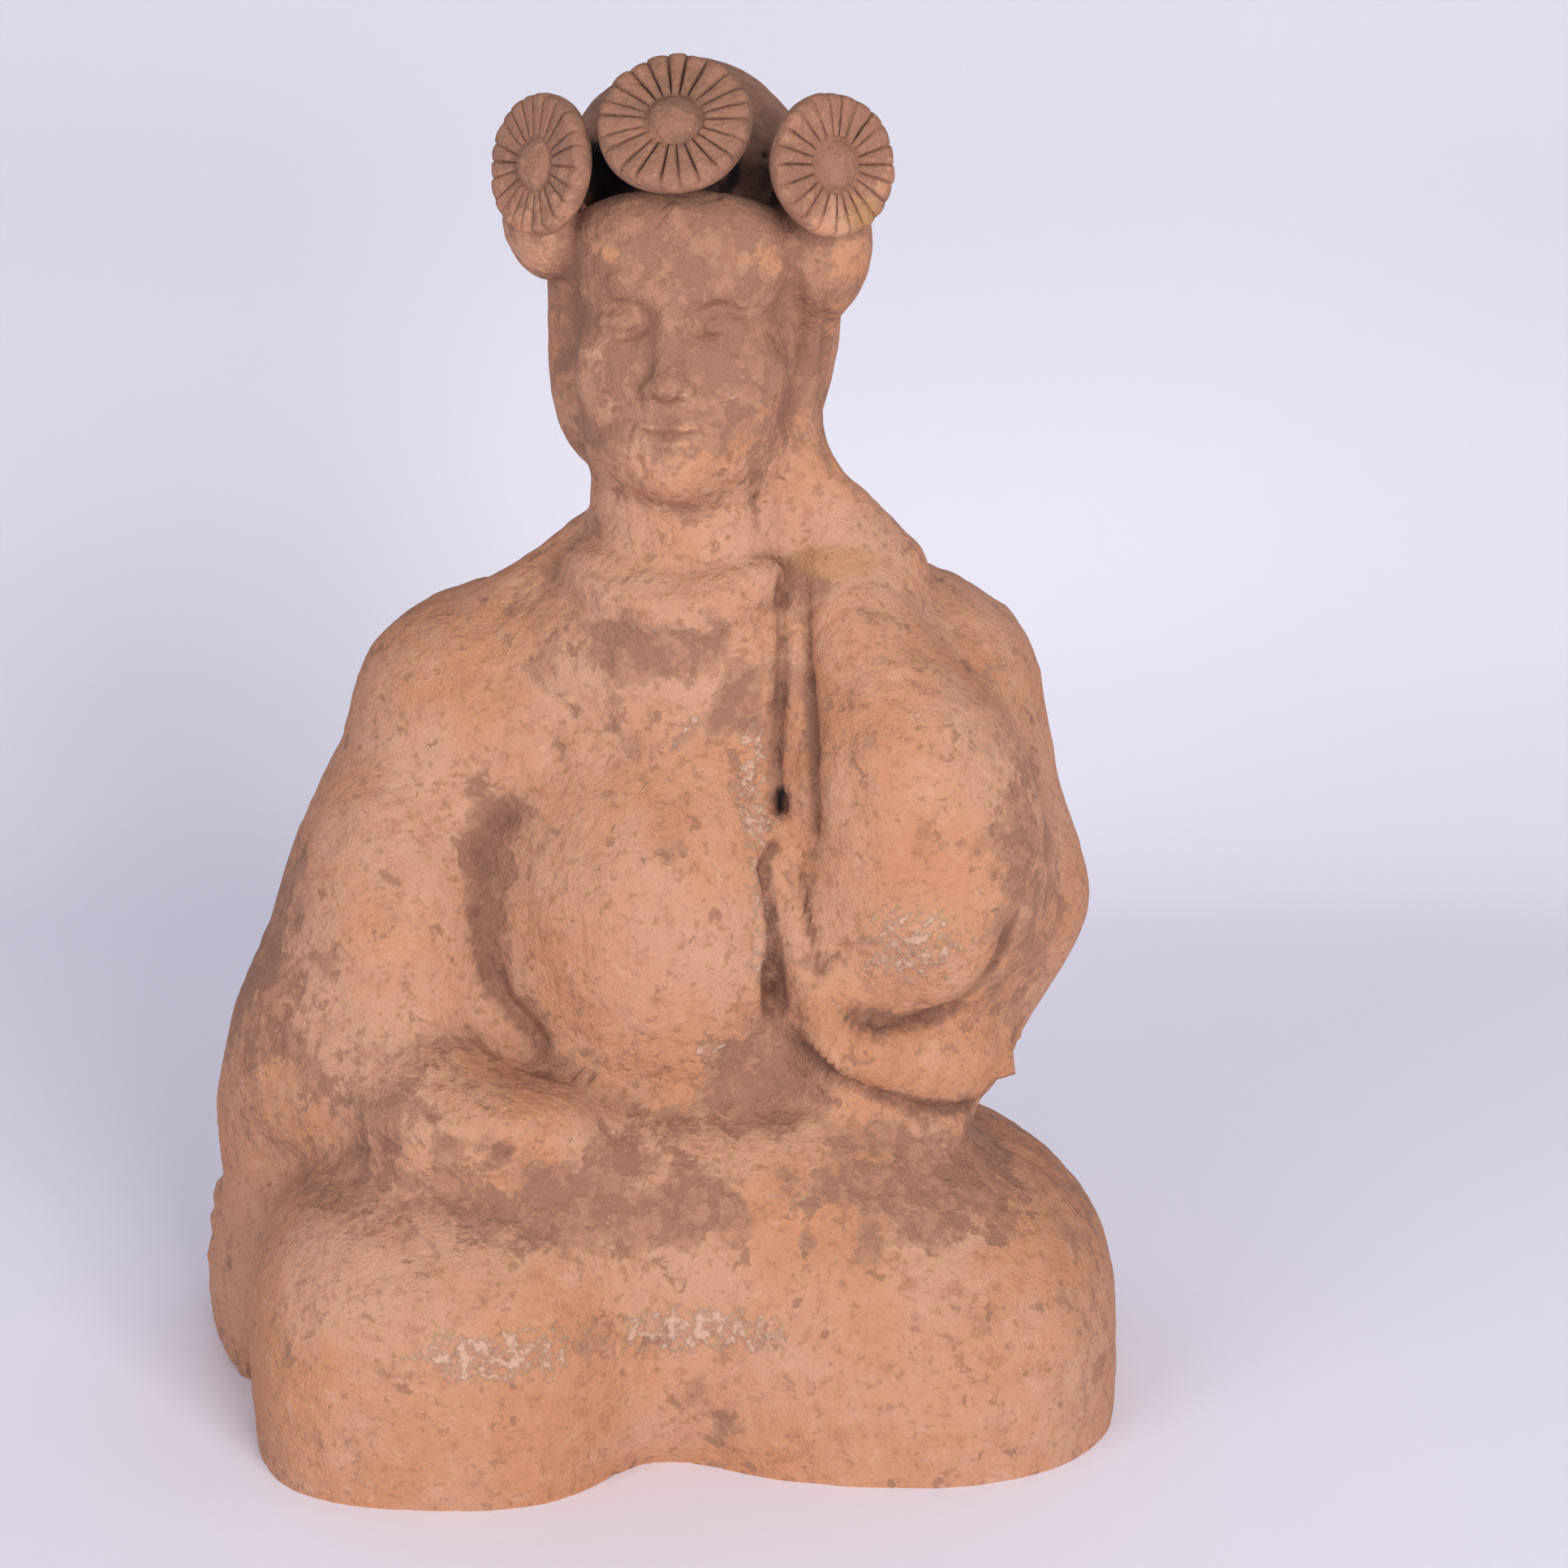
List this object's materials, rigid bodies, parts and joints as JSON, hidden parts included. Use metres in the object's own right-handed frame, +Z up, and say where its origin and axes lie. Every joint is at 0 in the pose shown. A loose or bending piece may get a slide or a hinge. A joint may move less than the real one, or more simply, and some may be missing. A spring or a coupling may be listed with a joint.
{
  "type": "seated lady figure",
  "caption": "Seated pottery lady in a loose robe, one hand resting on her knee and the other raised to her ear, with three rosettes in her hair.",
  "frame": {"origin": "middle of the bounding box in plan, on the flat underside", "axes": "+Z up; she faces -Y; +X is the side of her raised left hand"},
  "size_m": [0.279, 0.198, 0.3901],
  "materials": {
    "terracotta": null
  },
  "bodies": {
    "root": {"figure": "terracotta"}
  },
  "joints": []
}
